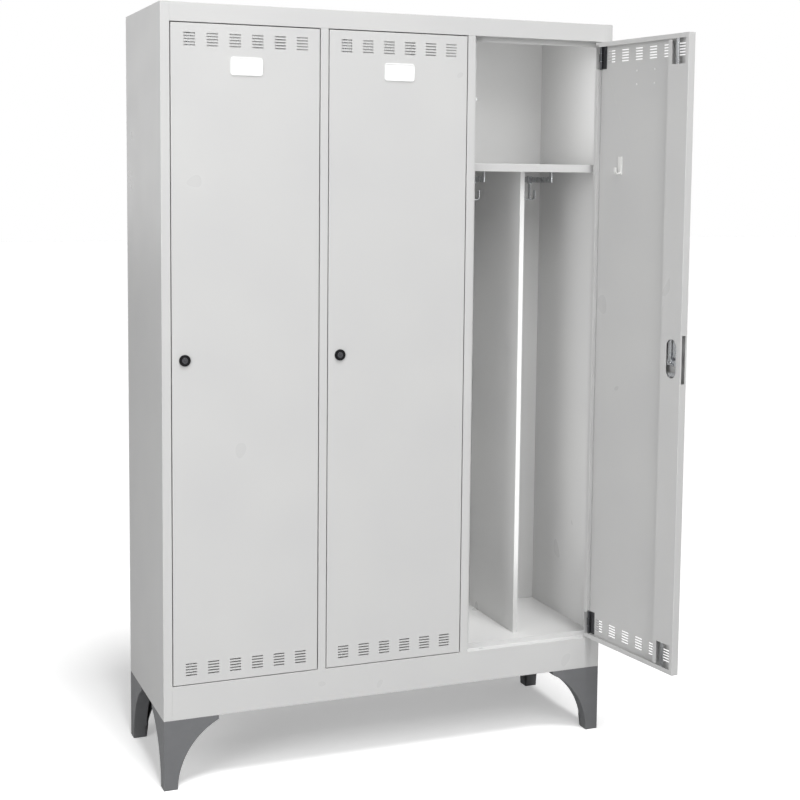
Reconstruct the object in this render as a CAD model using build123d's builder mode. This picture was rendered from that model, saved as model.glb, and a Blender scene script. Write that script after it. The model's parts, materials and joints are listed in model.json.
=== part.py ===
"""Three-door sheet steel wardrobe locker on four corner legs, right door standing open.

Millimetres, +Z up. The origin is on the floor, in the middle of the cabinet's footprint.
The doors face -Y, are hinged on their right and lock on their left.
"""

import os
from math import cos, pi, sin

from build123d import *

# Overall sizes
width = 1200.0
depth = 400.0
body_height = 1725.0
leg_height = 175.0
door_count = 3

# Sheet metal
sheet = 1.0
hem = 15.0
bottom_flange = 24.0

# Front frame
side_post = 22.0
centre_post = 20.0
header = 45.0
kick = 84.0
stop_gap = 2.0
stop_flange = 13.0

# Doors
door_gap = 2.5
door_depth = 20.0
door_lip = 12.0
open_angle = 98.0

# Vent slits in each door
vent_side_margin = 25.0
vent_rows = 5
vent_column_pitch = 55.6
vent_row_pitch = 7.0
slit_width = 28.0
slit_height = 3.0
vent_inset = 37.0

# Inside
shelf_drop = 365.0
shelf_setback = 28.0
shelf_fold = 20.0
small_flange = 12.0
divider_setback = 107.0
flange_gap = 0.5

# Coat rails and their hooks
rail_height = 15.0
rail_thickness = 4.0
rail_drop = 48.0
rail_setback = 125.0
rail_back_gap = 20.0
hook_width = 12.0
hook_strip = 2.5
hook_clearance = 0.5
hook_seat_gap = 0.3
hook_shank = 36.0
hook_radius = 8.0
hook_tip = 18.0
hook_setbacks = (195.0, 260.0)

# Lock and locking rods
lock_inset = 31.0
rosette_radius = 13.0
rosette_height = 4.0
barrel_radius = 9.5
barrel_hole_gap = 0.2
plug_radius = 7.0
plug_gap = 0.05
plug_tail = 8.0
tail_gap = 0.05
lock_nut_radius = 14.0
lock_nut_height = 4.0
key_slot = (1.5, 8.0, 3.0)
cam_thickness = 2.0
cam_rim = 2.5
cam_gap = 1.0
cam_rod_gap = 1.5
tongue_reach = 9.5
tongue_width = 14.0
crank_radius = 14.0
crank_pin_radius = 2.5
crank_pin_end = 1.5
cam_screw_radius = 4.5
cam_screw_head = 1.5
rod_width = 10.0
rod_thickness = 3.0
rod_back_gap = 2.0
rod_hole_gap = 0.8
fork_gap = 0.6
fork_wall = 4.0
fork_side_gap = 4.0
fork_end_wall = 4.9
jog_drop = 45.0
jog_height = 10.0
tongue_slot_height = 120.0
tongue_slot_depth = 11.0
tongue_slot_lead = 5.5
post_slot_height = 90.0
post_slot_depth = 9.0
post_slot_lead = 4.5

# Stiffening channel inside each door
channel_inset = 76.0
channel_window = (38.0, 97.0)
channel_window_offset = 4.0
channel_notch = (50.0, 60.0)
channel_end_gap = 2.0

# Rod guides and the small hook inside each door
guide_heights = (-560.0, -280.0, 280.0, 560.0)
guide_size = 16.0
guide_wall = 1.7
guide_gap = 0.3
guide_back_gap = 0.2
door_hook_inset = 90.0
door_hook_drop = 319.5
door_hook_plate = (16.0, 46.0, 2.0)
door_hook_reach = 18.0
door_hook_strip = 2.5

# Card holder
card_holder = (80.0, 43.0, 2.0)
card_holder_drop = 96.5
card_frame = 4.0
card_thickness = 0.5
card_gap = 0.5
card_base = 0.8
stud_spacing = (70.0, 34.0)
stud_radius = 1.5
stud_hole_gap = 0.05
stud_head = (2.8, 1.0)

# Hinges
knuckle_inset = 1.5
hinge_height = 60.0
hinge_inset = 38.0
knuckle_radius = 3.5
pin_radius = 2.0
pin_gap = 0.05
knuckle_gap = 0.5
leaf_thickness = 1.5
frame_leaf_thickness = 1.2
frame_leaf_gap = 0.2
frame_arm = 9.0
door_leaf_width = 20.0
notch_gap = 1.0

# Corner legs
leg_wing = 138.0
leg_foot = 35.0
leg_tip = 10.0
leg_wall = 3.0
leg_bolt_along = 90.0
leg_bolt_inset = 14.0
bolt_radius = 3.0
bolt_clearance = 0.3
bolt_head = (5.0, 4.0)
nut_height = 5.0
nut_gap = 0.02
bolt_end = 1.0

# Wall fixing holes in the back panel
wall_hole_radius = 4.0
wall_hole_drop = 180.0

# Worked out from the sizes above
x_side = width / 2
y_front = -depth / 2
y_back = depth / 2
z_body = leg_height
z_top = leg_height + body_height
z_sill = z_body + kick
z_lintel = z_top - header
y_stop = y_front + door_depth + stop_gap
web_half = sheet / 2
opening_width = (width - 2 * side_post - (door_count - 1) * centre_post) / door_count
opening_pitch = opening_width + centre_post
openings = [-x_side + side_post + i * opening_pitch for i in range(door_count)]
posts = [x - centre_post / 2 for x in openings[1:]]
walls_left = [-x_side + sheet] + [x + web_half for x in posts]
walls_right = [x - web_half for x in posts] + [x_side - sheet]
centres = [x + opening_width / 2 for x in openings]
names = ["left", "centre", "right"]
door_bottom = z_sill + door_gap
door_top = z_lintel - door_gap
door_width = opening_width - 2 * door_gap
door_middle = (door_bottom + door_top) / 2
y_door_back = y_front + door_depth
y_panel = y_back - sheet
y_inside = y_panel - sheet
shelf_top = z_top - shelf_drop
door_hook_height = door_top - door_hook_drop
vent_span = door_width - 2 * vent_side_margin - slit_width
vent_columns = int(vent_span // vent_column_pitch) + 1
axis_inset = knuckle_radius + knuckle_inset
axis_depth = sheet + knuckle_radius + knuckle_gap
y_rod = y_door_back - sheet - rod_back_gap - rod_thickness
y_cam_back = y_rod - cam_rod_gap
y_cam = y_cam_back - cam_thickness
y_barrel = y_cam - cam_gap
y_pin_end = y_rod + rod_thickness + crank_pin_end
cam_radius = crank_radius + crank_pin_radius + cam_rim
tongue_length = lock_inset + door_gap + sheet + tongue_reach
rest_angles = [0.0, 0.0, open_angle]


def slab(x0, x1, y0, y1, z0, z1, mode=Mode.ADD):
    """A box between two opposite corners, added to or cut from the piece being built."""
    with Locations(((x0 + x1) / 2, (y0 + y1) / 2, (z0 + z1) / 2)):
        Box(x1 - x0, y1 - y0, z1 - z0, mode=mode)


def folded(plane, outline, length, side):
    """Sheet folded along an outline of its outer corners, extruded from its plane."""
    with BuildSketch(plane) as section:
        with BuildLine():
            Polyline(*outline)
            offset(amount=sheet, side=side, kind=Kind.INTERSECTION)
        make_face()
    extrude(section.sketch, amount=length)


def rod(x, y, radius, z0, z1, mode=Mode.ADD):
    """An upright round bar or hole."""
    with BuildSketch(Plane.XY.offset(z0)) as section:
        with Locations((x, y)):
            Circle(radius)
    extrude(section.sketch, amount=z1 - z0, mode=mode)


def round_through(x, z, radius, y0, y1, mode=Mode.ADD):
    """A round bar or hole along Y."""
    with BuildSketch(Plane.XZ.offset(-y0)) as section:
        with Locations((x, z)):
            Circle(radius)
    extrude(section.sketch, amount=y0 - y1, mode=mode)


def hexagon_along_y(x, z, radius, y0, y1):
    """A six-sided prism along Y."""
    with BuildSketch(Plane.XZ.offset(-y0)) as section:
        with Locations((x, z)):
            RegularPolygon(radius, 6)
    extrude(section.sketch, amount=y0 - y1)


def save(label, *parts):
    """Write one node: a single piece, or several separate pieces of one kind."""
    piece = parts[0] if len(parts) == 1 else Compound(children=list(parts))
    piece.label = label
    export_step(piece, f"parts/{label}.step")


def swung(part, index):
    """A door's piece, turned about the door's hinge axis to where it rests."""
    if rest_angles[index] == 0:
        return part
    x = openings[index] + opening_width - door_gap - axis_inset
    return part.rotate(Axis((x, y_front + axis_depth, 0), (0, 0, 1)), rest_angles[index])


os.makedirs("parts", exist_ok=True)

# Carcass: side panels, each folded into its front post, door stop and back flange
with BuildPart() as side_panel:
    folded(
        Plane.XY.offset(z_body),
        [
            (-x_side + side_post + stop_flange, y_stop),
            (-x_side + side_post, y_stop),
            (-x_side + side_post, y_front),
            (-x_side, y_front),
            (-x_side, y_back),
            (-x_side + hem, y_back),
        ],
        body_height,
        Side.RIGHT,
    )
    stop_tip = -x_side + side_post + stop_flange
    slab(-x_side + side_post, stop_tip, y_stop, y_stop + sheet, z_body, z_sill, Mode.SUBTRACT)
    slab(-x_side + side_post, stop_tip, y_stop, y_stop + sheet, z_lintel, z_top, Mode.SUBTRACT)
    slab(-x_side + sheet, stop_tip, y_front + sheet, y_back, z_top - sheet, z_top, Mode.SUBTRACT)
    slab(
        -x_side + sheet,
        -x_side + bottom_flange,
        y_front + sheet,
        y_inside,
        z_body,
        z_body + sheet,
    )
    for y in (y_front + leg_bolt_along, y_back - leg_bolt_along):
        rod(
            -x_side + leg_bolt_inset,
            y,
            bolt_radius + bolt_clearance,
            z_body,
            z_body + sheet,
            Mode.SUBTRACT,
        )
right_side = side_panel.part.mirror(Plane.YZ)
with BuildPart() as left_side:
    add(side_panel.part)
    slab(
        -x_side + side_post - sheet,
        -x_side + side_post,
        y_cam - post_slot_lead,
        y_cam - post_slot_lead + post_slot_depth,
        door_middle - post_slot_height / 2,
        door_middle + post_slot_height / 2,
        Mode.SUBTRACT,
    )
save("side_panel_left", left_side.part)
save("side_panel_right", right_side)

# Back panel, with wall fixing holes and a flange for the back legs
x_clear = x_side - bottom_flange - flange_gap
with BuildPart() as back_panel:
    slab(-x_side + sheet, x_side - sheet, y_inside, y_panel, z_body, z_top - sheet)
    slab(-x_clear, x_clear, y_back - bottom_flange, y_panel, z_body, z_body + sheet)
    for side in (-1, 1):
        round_through(
            side * centres[-1],
            z_top - wall_hole_drop,
            wall_hole_radius,
            y_inside - sheet,
            y_back,
            Mode.SUBTRACT,
        )
        rod(
            side * (x_side - leg_bolt_along),
            y_back - leg_bolt_inset,
            bolt_radius + bolt_clearance,
            z_body,
            z_body + sheet,
            Mode.SUBTRACT,
        )
save("back_panel", back_panel.part)


def lock_x(index):
    """The lock's place across a door."""
    return openings[index] + door_gap + lock_inset


def rod_holes(z0, z1):
    """Slots in the frame that the locking rods enter."""
    for index in range(door_count):
        x = lock_x(index) + crank_radius
        half = rod_width / 2 + rod_hole_gap
        y0, y1 = y_rod - rod_hole_gap, y_rod + rod_thickness + rod_hole_gap
        slab(x - half, x + half, y0, y1, z0, z1, Mode.SUBTRACT)


def stop_gaps(z0, z1):
    """Clear the frame's level stops away where the upright stops pass."""
    inner = x_side - side_post
    reach = stop_flange
    slab(-inner, -inner + reach, y_stop, y_stop + sheet, z0, z1, Mode.SUBTRACT)
    slab(inner - reach, inner, y_stop, y_stop + sheet, z0, z1, Mode.SUBTRACT)
    for x in posts:
        half = centre_post / 2 + stop_flange
        slab(x - half, x + half, y_stop, y_stop + sheet, z0, z1, Mode.SUBTRACT)


# Top panel, folded down into the header and its door stop
x_inner = x_side - side_post
with BuildPart() as top_panel:
    folded(
        Plane.YZ.offset(-x_inner),
        [
            (y_back, z_top - hem),
            (y_back, z_top),
            (y_front, z_top),
            (y_front, z_lintel),
            (y_stop, z_lintel),
            (y_stop, z_lintel - stop_flange),
        ],
        2 * x_inner,
        Side.LEFT,
    )
    stop_gaps(z_lintel - stop_flange, z_lintel + sheet)
    rod_holes(z_lintel, z_lintel + sheet)
    for side in (-1, 1):
        x0, x1 = sorted((side * x_inner, side * (x_side - sheet)))
        slab(x0, x1, y_front + sheet, y_panel, z_top - sheet, z_top)
        x0, x1 = sorted((side * (x_side - sheet), side * (x_side - 2 * sheet)))
        slab(x0, x1, y_stop + 2 * sheet, y_inside, z_top - hem, z_top)
save("top_panel", top_panel.part)

# Kick rail, folded into the sill, its door stop and a flange for the front legs
with BuildPart() as kick_rail:
    folded(
        Plane.YZ.offset(-x_inner),
        [
            (y_front + bottom_flange, z_body),
            (y_front, z_body),
            (y_front, z_sill),
            (y_stop, z_sill),
            (y_stop, z_sill + stop_flange),
        ],
        2 * x_inner,
        Side.RIGHT,
    )
    stop_gaps(z_sill - sheet, z_sill + stop_flange)
    rod_holes(z_sill - sheet, z_sill)
    for side in (-1, 1):
        x0, x1 = sorted((side * x_clear, side * x_inner))
        slab(x0, x1, y_front + sheet, y_front + bottom_flange, z_body, z_body + sheet, Mode.SUBTRACT)
        rod(
            side * (x_side - leg_bolt_along),
            y_front + leg_bolt_inset,
            bolt_radius + bolt_clearance,
            z_body,
            z_body + sheet,
            Mode.SUBTRACT,
        )
save("kick_rail", kick_rail.part)

# Floor panel, a tray turned down at its four edges
y_floor = y_stop + sheet
with BuildPart() as floor_panel:
    folded(
        Plane.YZ.offset(-x_side + sheet),
        [(y_floor, z_sill - hem), (y_floor, z_sill), (y_inside, z_sill), (y_inside, z_sill - hem)],
        width - 2 * sheet,
        Side.RIGHT,
    )
    for side in (-1, 1):
        x0, x1 = sorted((side * (x_side - sheet), side * (x_side - 2 * sheet)))
        slab(x0, x1, y_floor, y_inside, z_sill - hem, z_sill)
save("floor_panel", floor_panel.part)

# Partitions and centre posts between the compartments
for x, name in zip(posts, names):
    with BuildPart() as partition:
        folded(
            Plane.XY.offset(z_sill),
            [
                (x + centre_post, y_floor),
                (x - web_half, y_floor),
                (x - web_half, y_inside),
                (x + hem, y_inside),
            ],
            z_top - sheet - z_sill,
            Side.RIGHT,
        )
    save(f"partition_{name}", partition.part)
    half = centre_post / 2
    with BuildPart() as post:
        folded(
            Plane.XY.offset(z_sill),
            [
                (x - half - stop_flange, y_stop),
                (x - half, y_stop),
                (x - half, y_front),
                (x + half, y_front),
                (x + half, y_stop),
                (x + half + stop_flange, y_stop),
            ],
            z_lintel - z_sill,
            Side.LEFT,
        )
        slab(
            x + half - sheet,
            x + half,
            y_cam - post_slot_lead,
            y_cam - post_slot_lead + post_slot_depth,
            door_middle - post_slot_height / 2,
            door_middle + post_slot_height / 2,
            Mode.SUBTRACT,
        )
    save(f"centre_post_{name}", post.part)

# Hat shelf and divider of each compartment
y_shelf = y_front + shelf_setback
y_shelf_back = y_inside - sheet
y_divider = y_front + divider_setback
for left, right, centre, name in zip(walls_left, walls_right, centres, names):
    with BuildPart() as hat_shelf:
        folded(
            Plane.YZ.offset(left),
            [
                (y_shelf, shelf_top - shelf_fold),
                (y_shelf, shelf_top),
                (y_shelf_back, shelf_top),
                (y_shelf_back, shelf_top - small_flange),
            ],
            right - left,
            Side.RIGHT,
        )
        slab(left, left + sheet, y_shelf, y_shelf_back, shelf_top - small_flange, shelf_top)
        slab(right - sheet, right, y_shelf, y_shelf_back, shelf_top - small_flange, shelf_top)
    save(f"hat_shelf_{name}", hat_shelf.part)

    divider_back = y_shelf_back - sheet
    divider_top = shelf_top - sheet
    with BuildPart() as divider:
        folded(
            Plane.XY.offset(z_sill),
            [
                (centre + small_flange, y_divider),
                (centre - web_half, y_divider),
                (centre - web_half, divider_back),
                (centre + small_flange, divider_back),
            ],
            divider_top - z_sill,
            Side.RIGHT,
        )
        slab(centre, centre + small_flange, y_divider, divider_back, z_sill, z_sill + sheet)
        slab(centre, centre + small_flange, y_divider, divider_back, divider_top - sheet, divider_top)
    save(f"divider_{name}", divider.part)

# Coat rails, front to back under each shelf, hung by their turned-up ends
rail_bottom = shelf_top - rail_drop
rail_top = rail_bottom + rail_height
y_rail = y_front + rail_setback
y_rail_back = y_back - rail_back_gap
rail_places = []
for left, right, centre in zip(walls_left, walls_right, centres):
    rail_places += [(left + centre) / 2, (centre + right) / 2]
with BuildPart() as coat_rails:
    for x in rail_places:
        x0, x1 = x - rail_thickness / 2, x + rail_thickness / 2
        slab(x0, x1, y_rail, y_rail_back, rail_bottom, rail_top)
        slab(x0, x1, y_rail, y_rail + rail_height, rail_bottom, shelf_top - sheet)
        slab(x0, x1, y_rail_back - rail_height, y_rail_back, rail_bottom, shelf_top - sheet)
save("coat_rails", coat_rails.part)

# Double coat hooks, each closed round its rail
for index, x in enumerate(rail_places):
    y = y_front + hook_setbacks[index % 2]
    inner_half = rail_thickness / 2 + hook_clearance
    loop_top = rail_top + hook_seat_gap
    loop_bottom = rail_bottom - 2 * hook_clearance
    z_arc = loop_bottom - hook_strip - hook_shank
    with BuildPart() as coat_hook:
        with BuildSketch(Plane.XZ.offset(-(y + hook_width / 2))):
            with Locations((x, (loop_top + loop_bottom) / 2)):
                loop_height = loop_top - loop_bottom
                Rectangle(2 * (inner_half + hook_strip), loop_height + 2 * hook_strip)
                Rectangle(2 * inner_half, loop_height, mode=Mode.SUBTRACT)
            for side in (-1, 1):
                arc_x = x + side * hook_radius
                with Locations((arc_x, z_arc)):
                    Circle(hook_radius + hook_strip / 2)
                    Circle(hook_radius - hook_strip / 2, mode=Mode.SUBTRACT)
            with Locations((x, z_arc)):
                Rectangle(
                    4 * hook_radius + 2 * hook_strip,
                    hook_radius + hook_strip,
                    align=(Align.CENTER, Align.MIN),
                    mode=Mode.SUBTRACT,
                )
                Rectangle(hook_strip, hook_shank + hook_strip / 2, align=(Align.CENTER, Align.MIN))
            for side in (-1, 1):
                with Locations((x + side * 2 * hook_radius, z_arc)):
                    Rectangle(hook_strip, hook_tip, align=(Align.CENTER, Align.MIN))
        extrude(amount=hook_width)
    save(f"coat_hook_{index + 1}", coat_hook.part)

# Hinges: two on the right edge of each door
hinge_places = [door_bottom + hinge_inset, door_top - hinge_inset]
knuckle = hinge_height / 3
frame_leaves, hinge_pins = [], []
for index in range(door_count):
    x_axis = openings[index] + opening_width - door_gap - axis_inset
    y_axis = y_front + axis_depth
    x_post = openings[index] + opening_width
    arm_y = y_axis + frame_arm
    for z in hinge_places:
        z0, z1 = z - knuckle / 2 + knuckle_gap / 2, z + knuckle / 2 - knuckle_gap / 2
        with BuildPart() as frame_leaf:
            slab(x_axis - leaf_thickness / 2, x_axis + leaf_thickness / 2, y_axis, arm_y, z0, z1)
            slab(x_axis - leaf_thickness / 2, x_post, arm_y - leaf_thickness, arm_y, z0, z1)
            slab(
                x_post - frame_leaf_thickness,
                x_post,
                arm_y - leaf_thickness,
                y_stop - frame_leaf_gap,
                z - hinge_height / 2,
                z + hinge_height / 2,
            )
            rod(x_axis, y_axis, knuckle_radius, z0, z1)
            rod(x_axis, y_axis, pin_radius + pin_gap, z0, z1, Mode.SUBTRACT)
        frame_leaves.append(frame_leaf.part)
        with BuildPart() as hinge_pin:
            rod(x_axis, y_axis, pin_radius, z - hinge_height / 2, z + hinge_height / 2)
        hinge_pins.append(hinge_pin.part)
save("frame_hinge_leaves", *frame_leaves)
save("hinge_pins", *hinge_pins)

# Doors
turn = pi / 2
pin_swing = crank_radius * sin(turn / 2)
pin_inset = crank_radius * cos(turn / 2)
for index, name in enumerate(names):
    x0 = openings[index] + door_gap
    x1 = x0 + door_width
    x_lock = lock_x(index)
    x_rod = x_lock + crank_radius
    x_axis = x1 - axis_inset
    y_axis = y_front + axis_depth
    z_card = door_top - card_holder_drop
    x_card = (x0 + x1) / 2

    # Pan: a face turned back at its four edges, with a lip along each
    with BuildPart() as door_skin:
        slab(x0, x1, y_front, y_door_back, door_bottom, door_top)
        slab(
            x0 + sheet,
            x1 - sheet,
            y_front + sheet,
            y_door_back - sheet,
            door_bottom + sheet,
            door_top - sheet,
            Mode.SUBTRACT,
        )
        slab(
            x0 + door_lip,
            x1 - door_lip,
            y_door_back - sheet,
            y_door_back,
            door_bottom + door_lip,
            door_top - door_lip,
            Mode.SUBTRACT,
        )
        for z in (door_bottom + vent_inset, door_top - vent_inset):
            with Locations((x_card, y_front, z)):
                with GridLocations(vent_column_pitch, 1, vent_columns, 1):
                    for row in range(vent_rows):
                        with Locations((0, 0, (row - (vent_rows - 1) / 2) * vent_row_pitch)):
                            Box(slit_width, 4 * sheet, slit_height, mode=Mode.SUBTRACT)
        round_through(
            x_lock,
            door_middle,
            barrel_radius + barrel_hole_gap,
            y_front,
            y_front + sheet,
            Mode.SUBTRACT,
        )
        for side_x in (-1, 1):
            for side_z in (-1, 1):
                round_through(
                    x_card + side_x * stud_spacing[0] / 2,
                    z_card + side_z * stud_spacing[1] / 2,
                    stud_radius + stud_hole_gap,
                    y_front,
                    y_front + sheet,
                    Mode.SUBTRACT,
                )
        slab(
            x0,
            x0 + sheet,
            y_cam - tongue_slot_lead,
            y_cam - tongue_slot_lead + tongue_slot_depth,
            door_middle - tongue_slot_height / 2,
            door_middle + tongue_slot_height / 2,
            Mode.SUBTRACT,
        )
        half = rod_width / 2 + rod_hole_gap
        for z in (door_bottom, door_top - sheet):
            slab(
                x_rod - half,
                x_rod + half,
                y_rod - rod_hole_gap,
                y_rod + rod_thickness + rod_hole_gap,
                z,
                z + sheet,
                Mode.SUBTRACT,
            )
        for z in hinge_places:
            half = hinge_height / 2 + notch_gap
            slab(x1 - door_lip, x1, y_front + sheet, y_door_back, z - half, z + half, Mode.SUBTRACT)
    save(f"door_skin_{name}", swung(door_skin.part, index))

    # Channel that covers the rods, with a window behind the lock and cut away at the vents
    x_channel = x0 + channel_inset
    z0, z1 = door_bottom + door_lip + channel_end_gap, door_top - door_lip - channel_end_gap
    with BuildPart() as channel:
        slab(x_channel - sheet, x_channel, y_front + sheet, y_door_back, z0, z1)
        slab(x0 + door_lip, x_channel, y_door_back - sheet, y_door_back, z0, z1)
        for z in (z0, z1 - channel_notch[1]):
            slab(
                x0 + door_lip,
                x0 + door_lip + channel_notch[0],
                y_door_back - sheet,
                y_door_back,
                z,
                z + channel_notch[1],
                Mode.SUBTRACT,
            )
        with BuildSketch(Plane.XZ.offset(-y_door_back)):
            with Locations((x_lock + channel_window_offset, door_middle)):
                SlotOverall(channel_window[1], channel_window[0], rotation=90)
        extrude(amount=2 * sheet, mode=Mode.SUBTRACT)
    save(f"door_channel_{name}", swung(channel.part, index))

    # Door halves of the hinges, inside the pan's hinge edge
    with BuildPart() as door_leaves:
        for z in hinge_places:
            bottom, top = z - hinge_height / 2, z + hinge_height / 2
            slab(
                x_axis - door_leaf_width,
                x_axis,
                y_front + sheet,
                y_front + sheet + leaf_thickness,
                bottom,
                top,
            )
            slab(
                x_axis - knuckle_radius - knuckle_gap,
                x_axis,
                y_front + sheet,
                y_front + sheet + leaf_thickness,
                z - knuckle / 2 - knuckle_gap / 2,
                z + knuckle / 2 + knuckle_gap / 2,
                Mode.SUBTRACT,
            )
            for low in (bottom, top - knuckle + knuckle_gap):
                rod(x_axis, y_axis, knuckle_radius, low, low + knuckle - knuckle_gap)
                rod(
                    x_axis,
                    y_axis,
                    pin_radius + pin_gap,
                    low,
                    low + knuckle - knuckle_gap,
                    Mode.SUBTRACT,
                )
    save(f"door_hinge_leaves_{name}", swung(door_leaves.part, index))

    # Lock body with its nut behind the face
    with BuildPart() as lock_body:
        round_through(x_lock, door_middle, rosette_radius, y_front - rosette_height, y_front)
        round_through(x_lock, door_middle, barrel_radius, y_front, y_barrel)
        fillet(lock_body.edges().group_by(Axis.Y)[0], rosette_height / 4)
        round_through(
            x_lock,
            door_middle,
            plug_radius + plug_gap,
            y_front - rosette_height,
            y_barrel,
            Mode.SUBTRACT,
        )
    with BuildPart() as lock_nut:
        hexagon_along_y(
            x_lock, door_middle, lock_nut_radius, y_front + sheet, y_front + sheet + lock_nut_height
        )
        round_through(
            x_lock,
            door_middle,
            barrel_radius + nut_gap,
            y_front + sheet,
            y_front + sheet + lock_nut_height,
            Mode.SUBTRACT,
        )
    save(f"lock_body_{name}", swung(lock_body.part, index), swung(lock_nut.part, index))

    # Plug with its key slot and square tail, and the screw that holds the cam on it
    with BuildPart() as lock_plug:
        round_through(x_lock, door_middle, plug_radius, y_front - rosette_height, y_cam)
        slab(
            x_lock - key_slot[0] / 2,
            x_lock + key_slot[0] / 2,
            y_front - rosette_height,
            y_front - rosette_height + key_slot[2],
            door_middle - key_slot[1] / 2,
            door_middle + key_slot[1] / 2,
            Mode.SUBTRACT,
        )
        slab(
            x_lock - plug_tail / 2,
            x_lock + plug_tail / 2,
            y_cam,
            y_cam_back,
            door_middle - plug_tail / 2,
            door_middle + plug_tail / 2,
        )
    with BuildPart() as cam_screw:
        round_through(x_lock, door_middle, cam_screw_radius, y_cam_back, y_cam_back + cam_screw_head)
    save(f"lock_plug_{name}", swung(lock_plug.part, index), swung(cam_screw.part, index))

    # Cam: a disc with the side tongue and two crank pins, drawn unlocked with its tongue up
    with BuildPart() as lock_cam:
        round_through(x_lock, door_middle, cam_radius, y_cam, y_cam_back)
        slab(
            x_lock - tongue_width / 2,
            x_lock + tongue_width / 2,
            y_cam,
            y_cam_back,
            door_middle,
            door_middle + tongue_length,
        )
        hole = plug_tail / 2 + tail_gap
        slab(
            x_lock - hole,
            x_lock + hole,
            y_cam,
            y_cam_back,
            door_middle - hole,
            door_middle + hole,
            Mode.SUBTRACT,
        )
        for side in (-1, 1):
            round_through(
                x_lock + side * pin_inset,
                door_middle - side * pin_swing,
                crank_pin_radius,
                y_cam,
                y_pin_end,
            )
    save(f"lock_cam_{name}", swung(lock_cam.part, index))

    # Flat rods, forked round the crank pins, drawn back into the door
    fork_half = crank_pin_radius + fork_gap
    slot_far = crank_radius + fork_half
    fork_far = slot_far + fork_end_wall
    for side, rod_name in ((1, "top_rod"), (-1, "bottom_rod")):
        z_fork = door_middle - side * pin_swing
        low, high = z_fork - fork_half - fork_wall, z_fork + fork_half + fork_wall
        with BuildPart() as lock_rod:
            near, far = sorted((x_lock + side * fork_side_gap, x_lock + side * fork_far))
            slab(near, far, y_rod, y_rod + rod_thickness, low, high)
            near, far = sorted((x_lock + side * fork_side_gap, x_lock + side * slot_far))
            slab(
                near,
                far,
                y_rod,
                y_rod + rod_thickness,
                z_fork - fork_half,
                z_fork + fork_half,
                Mode.SUBTRACT,
            )
            if side == 1:
                slab(
                    x_rod - rod_width / 2,
                    x_rod + rod_width / 2,
                    y_rod,
                    y_rod + rod_thickness,
                    z_fork + fork_half,
                    door_top,
                )
            else:
                x_up = x_lock - crank_radius
                z_jog = door_middle - jog_drop
                slab(
                    x_up - rod_width / 2,
                    x_up + rod_width / 2,
                    y_rod,
                    y_rod + rod_thickness,
                    z_jog,
                    z_fork - fork_half,
                )
                slab(
                    x_up - rod_width / 2,
                    x_rod + rod_width / 2,
                    y_rod,
                    y_rod + rod_thickness,
                    z_jog,
                    z_jog + jog_height,
                )
                slab(
                    x_rod - rod_width / 2,
                    x_rod + rod_width / 2,
                    y_rod,
                    y_rod + rod_thickness,
                    door_bottom,
                    z_jog + jog_height,
                )
        save(f"{rod_name}_{name}", swung(lock_rod.part, index))

    # Moulded rod guides, and the small hook on the inside of the door
    with BuildPart() as fittings:
        for height in guide_heights:
            z = door_middle + height
            half = rod_width / 2 + guide_gap
            slab(
                x_rod - half - guide_wall,
                x_rod + half + guide_wall,
                y_front + sheet,
                y_rod + rod_thickness + guide_back_gap + guide_wall,
                z - guide_size / 2,
                z + guide_size / 2,
            )
            slab(
                x_rod - half,
                x_rod + half,
                y_rod - guide_gap,
                y_rod + rod_thickness + guide_back_gap,
                z - guide_size / 2,
                z + guide_size / 2,
                Mode.SUBTRACT,
            )
        x_hook = x1 - door_hook_inset
        plate_width, plate_height, plate_thickness = door_hook_plate
        y_plate = y_front + sheet
        slab(
            x_hook - plate_width / 2,
            x_hook + plate_width / 2,
            y_plate,
            y_plate + plate_thickness,
            door_hook_height - plate_height / 2,
            door_hook_height + plate_height / 2,
        )
        z_prong = door_hook_height - plate_height / 2 + door_hook_reach / 2
        with BuildSketch(Plane.YZ.offset(x_hook - plate_width / 4)):
            with Locations((y_plate + door_hook_reach / 2, z_prong)):
                Circle(door_hook_reach / 2)
                Circle(door_hook_reach / 2 - door_hook_strip, mode=Mode.SUBTRACT)
                Rectangle(
                    door_hook_reach,
                    door_hook_reach,
                    align=(Align.CENTER, Align.MIN),
                    mode=Mode.SUBTRACT,
                )
            with Locations((y_plate + door_hook_reach - door_hook_strip / 2, z_prong)):
                Rectangle(door_hook_strip, door_hook_reach / 2, align=(Align.CENTER, Align.MIN))
        extrude(amount=plate_width / 2)
    save(f"door_fittings_{name}", swung(fittings.part, index))

    # Card holder on four studs, open at its top, and its blank card
    holder_width, holder_height, holder_depth = card_holder
    with BuildPart() as holder:
        slab(
            x_card - holder_width / 2,
            x_card + holder_width / 2,
            y_front - holder_depth,
            y_front,
            z_card - holder_height / 2,
            z_card + holder_height / 2,
        )
        slab(
            x_card - holder_width / 2 + card_frame,
            x_card + holder_width / 2 - card_frame,
            y_front - holder_depth,
            y_front - card_base,
            z_card - holder_height / 2 + card_frame,
            z_card + holder_height / 2 - card_frame,
            Mode.SUBTRACT,
        )
        for side_x in (-1, 1):
            for side_z in (-1, 1):
                x = x_card + side_x * stud_spacing[0] / 2
                z = z_card + side_z * stud_spacing[1] / 2
                round_through(x, z, stud_radius, y_front, y_front + sheet)
                round_through(x, z, stud_head[0], y_front + sheet, y_front + sheet + stud_head[1])
    with BuildPart() as card:
        slab(
            x_card - holder_width / 2 + card_frame + card_gap,
            x_card + holder_width / 2 - card_frame - card_gap,
            y_front - card_base - card_thickness,
            y_front - card_base,
            z_card - holder_height / 2 + card_frame + card_gap,
            z_card + holder_height / 2 - card_frame - card_gap,
        )
    save(f"card_holder_{name}", swung(holder.part, index), swung(card.part, index))


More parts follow.
